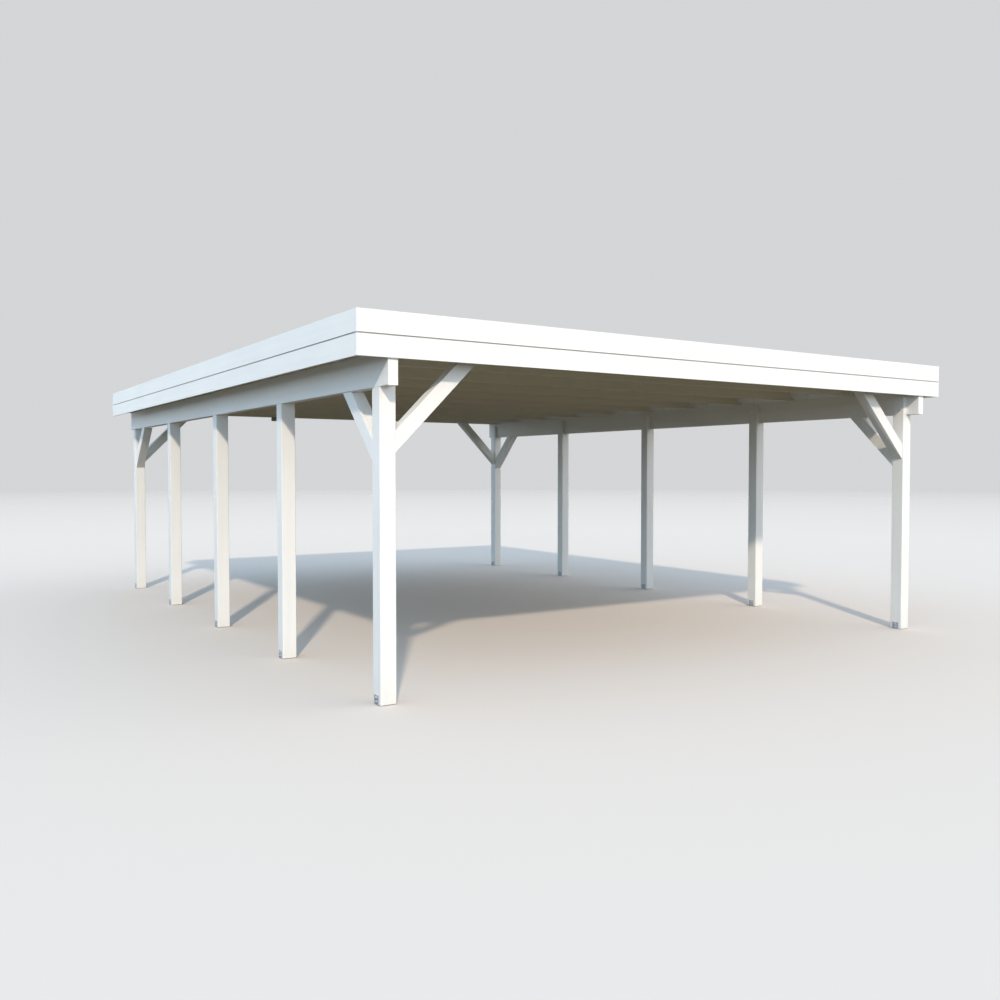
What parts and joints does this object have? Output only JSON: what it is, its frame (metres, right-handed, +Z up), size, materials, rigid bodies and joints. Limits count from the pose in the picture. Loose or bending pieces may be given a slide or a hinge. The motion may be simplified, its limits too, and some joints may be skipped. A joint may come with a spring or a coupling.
{
  "type": "carport",
  "caption": "Flat-roofed double timber carport, open on all sides, with two rows of square posts, side beams, corner knee braces and a two-board fascia.",
  "frame": {"origin": "on the ground at the middle of the plan", "axes": "+X to the right seen from the front, +Y from the front to the back along the posts, +Z up"},
  "size_m": [6.015, 7.637, 2.51],
  "materials": {
    "paint": "opaque white paint on planed timber, satin",
    "timber": "thin off-white primer on planed softwood, matt",
    "steel": "hot-dip galvanised, dull grey",
    "felt": "matt black roofing sheet",
    "outlet": "matt dark grey plastic"
  },
  "bodies": {
    "root": {"left_post_1": "paint", "left_post_2": "paint", "left_post_3": "paint", "left_post_4": "paint", "left_post_5": "paint", "right_post_1": "paint", "right_post_2": "paint", "right_post_3": "paint", "right_post_4": "paint", "right_post_5": "paint", "left_beam": "paint", "right_beam": "paint", "front_left_cross_brace": "paint", "front_left_side_brace": "paint", "front_right_cross_brace": "paint", "front_right_side_brace": "paint", "back_left_cross_brace": "paint", "back_left_side_brace": "paint", "back_right_cross_brace": "paint", "back_right_side_brace": "paint", "rafter_1": "timber", "rafter_2": "timber", "rafter_3": "timber", "rafter_4": "timber", "rafter_5": "timber", "rafter_6": "timber", "rafter_7": "timber", "rafter_8": "timber", "rafter_9": "timber", "rafter_10": "timber", "rafter_11": "timber", "front_brace_rafter": "timber", "back_brace_rafter": "timber", "front_fascia_lower": "paint", "front_fascia_upper": "paint", "back_fascia_lower": "paint", "back_fascia_upper": "paint", "left_fascia_lower": "paint", "left_fascia_upper": "paint", "right_fascia_lower": "paint", "right_fascia_upper": "paint", "post_shoes": "steel", "roof_deck": "timber", "roof_felt": "felt", "rain_outlet": "outlet"}
  },
  "joints": []
}
